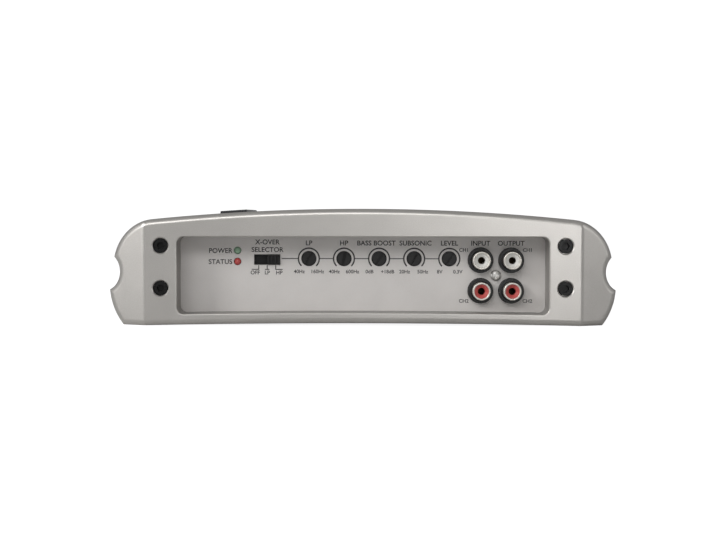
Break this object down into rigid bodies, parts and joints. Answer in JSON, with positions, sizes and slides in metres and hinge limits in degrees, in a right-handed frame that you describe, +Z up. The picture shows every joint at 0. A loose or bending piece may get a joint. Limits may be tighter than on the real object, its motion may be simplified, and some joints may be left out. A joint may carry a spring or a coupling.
{
  "type": "car amplifier",
  "caption": "Low crowned case with grooved heat sink, scooped sides and two end caps; control panel with line sockets in the front recess, screw terminals and blade fuses in the rear one.",
  "frame": {"origin": "middle of the footprint, on the surface the amplifier is screwed to", "axes": "+X to the right seen from the control end, +Y from the control end to the terminal end, +Z up"},
  "size_m": [0.2326, 0.26, 0.0529],
  "materials": {
    "silver_paint": "metallic silver paint, satin",
    "panel_paint": "metallic silver paint, fine satin",
    "black_steel": "black powder coat, satin",
    "black_screw": "black oxide, satin",
    "plated_steel": "bright zinc plate",
    "badge": "dark gloss",
    "circuit_board": "green solder mask, semi-gloss",
    "black_plastic": "moulded, satin",
    "control_plastic": "moulded, satin",
    "socket_shell": "nickel plate, bright",
    "white_plastic": "moulded, semi-gloss",
    "red_plastic": "moulded, semi-gloss",
    "brass_contact": "bright",
    "green_lamp": "tinted resin, clear gloss",
    "red_lamp": "tinted resin, clear gloss",
    "fuse_plastic": "tinted, semi-gloss",
    "tinned_metal": "tin plate, satin",
    "ferrite": "epoxy-coated ferrite, satin",
    "choke_core_coat": "epoxy-coated iron powder, satin",
    "copper_wire": "enamelled copper, gloss",
    "capacitor_sleeve": "shrink sleeve, gloss",
    "transistor_resin": "moulded, matt",
    "pad_rubber": "silicone pad, matt",
    "bar_aluminium": "mill finish"
  },
  "bodies": {
    "case": {"heatsink_body": "silver_paint", "base_plate": "black_steel", "base_plate_screws": "plated_steel", "front_end_cap": "silver_paint", "rear_end_cap": "silver_paint", "end_cap_screws": "black_screw", "control_panel": "panel_paint", "terminal_panel": "panel_paint", "top_badge": "badge", "main_board": "circuit_board", "board_standoffs": "brass_contact", "main_board_screws": "plated_steel", "control_board": "circuit_board", "board_link_header": "black_plastic", "control_chips": "transistor_resin", "selector_switch_body": "black_plastic", "power_lamp": "green_lamp", "status_lamp": "red_lamp", "line_socket_block": "black_plastic", "line_socket_shells": "socket_shell", "upper_socket_inserts": "white_plastic", "lower_socket_inserts": "red_plastic", "line_socket_contacts": "brass_contact", "line_socket_screw": "plated_steel", "power_terminal_block": "black_plastic", "power_terminal_plates": "brass_contact", "power_terminal_clamps": "plated_steel", "power_terminal_screws": "plated_steel", "speaker_terminal_block": "black_plastic", "speaker_terminal_plates": "brass_contact", "speaker_terminal_clamps": "plated_steel", "speaker_terminal_screws": "plated_steel", "fuse_holder": "black_plastic", "fuse_clips": "brass_contact", "transformer_core": "ferrite", "transformer_winding": "copper_wire", "choke_core": "choke_core_coat", "choke_winding": "copper_wire", "rail_capacitors": "capacitor_sleeve", "input_capacitors": "capacitor_sleeve", "power_transistors": "transistor_resin", "output_transistors": "transistor_resin", "insulating_pads": "pad_rubber", "transistor_clamp_bars": "bar_aluminium", "clamp_bar_screws": "plated_steel", "lowpass_pot_body": "black_plastic", "highpass_pot_body": "black_plastic", "bass_pot_body": "black_plastic", "subsonic_pot_body": "black_plastic", "level_pot_body": "black_plastic"},
    "selector_lever": {"selector_switch_lever": "control_plastic"},
    "left_fuse": {"left_fuse_body": "fuse_plastic", "left_fuse_blades": "tinned_metal"},
    "right_fuse": {"right_fuse_body": "fuse_plastic", "right_fuse_blades": "tinned_metal"},
    "lowpass_control": {"lowpass_pot_shaft": "control_plastic"},
    "highpass_control": {"highpass_pot_shaft": "control_plastic"},
    "bass_control": {"bass_pot_shaft": "control_plastic"},
    "subsonic_control": {"subsonic_pot_shaft": "control_plastic"},
    "level_control": {"level_pot_shaft": "control_plastic"}
  },
  "joints": [
    {"name": "lowpass_turn", "type": "hinge", "parent": "case", "child": "lowpass_control", "pos_m": [-0.0248, -0.116, 0.0301], "axis": [0, 1, 0], "range_deg": [-165, 105]},
    {"name": "highpass_turn", "type": "hinge", "parent": "case", "child": "highpass_control", "pos_m": [-0.0087, -0.116, 0.0301], "axis": [0, 1, 0], "range_deg": [-148, 122]},
    {"name": "bass_turn", "type": "hinge", "parent": "case", "child": "bass_control", "pos_m": [0.0074, -0.116, 0.0301], "axis": [0, 1, 0], "range_deg": [-165, 105]},
    {"name": "subsonic_turn", "type": "hinge", "parent": "case", "child": "subsonic_control", "pos_m": [0.0235, -0.116, 0.0301], "axis": [0, 1, 0], "range_deg": [-163, 107]},
    {"name": "level_turn", "type": "hinge", "parent": "case", "child": "level_control", "pos_m": [0.0396, -0.116, 0.0301], "axis": [0, 1, 0], "range_deg": [-168, 102]},
    {"name": "selector_slide", "type": "slide", "parent": "case", "child": "selector_lever", "axis": [1, 0, 0], "range_m": [-0.006, 0]},
    {"name": "left_fuse_pull", "type": "slide", "parent": "case", "child": "left_fuse", "axis": [0, 1, 0], "range_m": [0, 0.016]},
    {"name": "right_fuse_pull", "type": "slide", "parent": "case", "child": "right_fuse", "axis": [0, 1, 0], "range_m": [0, 0.016]}
  ]
}
